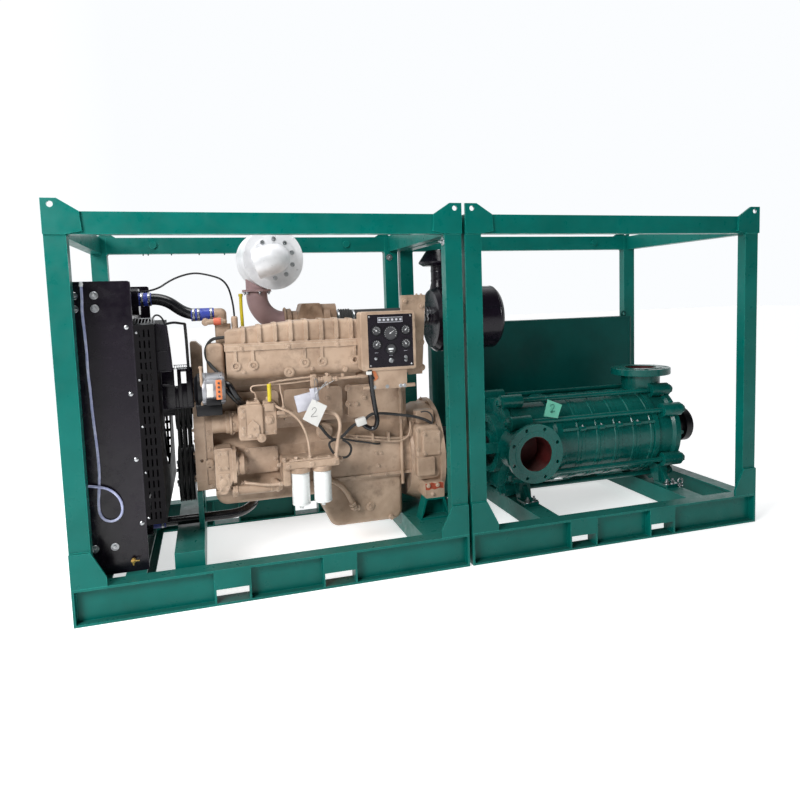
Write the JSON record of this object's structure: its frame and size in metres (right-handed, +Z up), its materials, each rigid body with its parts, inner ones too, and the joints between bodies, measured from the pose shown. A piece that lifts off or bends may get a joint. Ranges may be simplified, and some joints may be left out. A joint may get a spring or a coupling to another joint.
{
  "type": "diesel-driven multistage pump set",
  "caption": "Diesel engine with radiator and a horizontal multistage pump, each in its own welded green lifting frame with fork pockets and corner lugs, joined by a shaft coupling.",
  "frame": {"origin": "middle of the footprint at floor level, between the undersides of the base rails", "axes": "+X along the set from the radiator to the free end of the pump, +Y away from the service side, +Z up"},
  "size_m": [3.69, 1.268, 1.853],
  "materials": {
    "frame_paint": "semi-gloss green enamel on rolled and plate steel",
    "pump_paint": "semi-gloss green enamel on cast iron",
    "engine_paint": "satin beige enamel on castings",
    "black_paint": "gloss black enamel on sheet steel",
    "core_metal": "black painted fin block",
    "outlet_metal": "silver heat-resisting paint on cast metal",
    "elbow_metal": "primer on a cast elbow",
    "turbo_metal": "bare cast metal, heat tinted",
    "bare_steel": "turned or zinc-plated steel",
    "black_rubber": "moulded rubber",
    "blue_hose": "fabric-reinforced hose",
    "black_plastic": "moulded housing",
    "filter_white": "white stove-enamelled cans"
  },
  "bodies": {
    "set": {"accessory_drive": "engine_paint", "air_filter": "black_paint", "alternator": "black_paint", "breather": "engine_paint", "control_panel": "engine_paint", "coolant_pipe": "black_rubber", "cylinder_block": "engine_paint", "cylinder_heads": "engine_paint", "dipstick_tube": "bare_steel", "discharge_casing": "pump_paint", "drive_belts": "black_rubber", "drive_end_bracket": "pump_paint", "engine_frame_cross_beams": "frame_paint", "engine_frame_front_rail": "frame_paint", "engine_frame_left_posts": "frame_paint", "engine_frame_rear_rail": "frame_paint", "engine_frame_right_posts": "frame_paint", "engine_frame_top_rails": "frame_paint", "engine_mounts": "frame_paint", "exhaust_elbow": "elbow_metal", "exhaust_manifold": "engine_paint", "exhaust_outlet": "outlet_metal", "fan_bracket": "engine_paint", "fan_guard": "black_paint", "fan_shroud": "black_paint", "filter_head": "engine_paint", "flywheel_housing": "engine_paint", "free_end_bearing": "black_paint", "fuel_filters": "filter_white", "fuel_pump": "engine_paint", "fuel_tank": "frame_paint", "gear_case": "engine_paint", "intake_cover": "engine_paint", "intake_hose": "black_rubber", "intake_housing": "engine_paint", "lower_hose": "black_rubber", "oil_pan": "engine_paint", "overflow_tube": "blue_hose", "panel_bracket": "engine_paint", "panel_face": "black_paint", "pump_frame_cross_beams": "frame_paint", "pump_frame_front_rail": "frame_paint", "pump_frame_left_posts": "frame_paint", "pump_frame_rear_rail": "frame_paint", "pump_frame_right_posts": "frame_paint", "pump_frame_top_rails": "frame_paint", "radiator_core": "core_metal", "radiator_side_plates": "black_paint", "radiator_tanks": "black_paint", "shaft_gland": "pump_paint", "stage_casings": "pump_paint", "suction_casing": "pump_paint", "thermostat_housing": "engine_paint", "tie_rods": "pump_paint", "turbocharger": "turbo_metal", "vent_hose": "black_rubber"},
    "crank": {"crank_pulley": "black_paint", "drive_coupling": "black_paint"},
    "fan_drive": {"fan": "black_plastic", "fan_pulley": "black_paint"}
  },
  "joints": [
    {"name": "crank_spin", "type": "hinge", "parent": "set", "child": "crank", "pos_m": [-1.31, 0, 0.49], "axis": [1, 0, 0], "continuous": true},
    {"name": "fan_spin", "type": "hinge", "parent": "set", "child": "fan_drive", "pos_m": [-1.4, 0, 0.85], "axis": [1, 0, 0], "continuous": true}
  ],
  "couplings": [
    {"joint": "fan_spin", "follows": "crank_spin", "ratio": 1.2712}
  ]
}
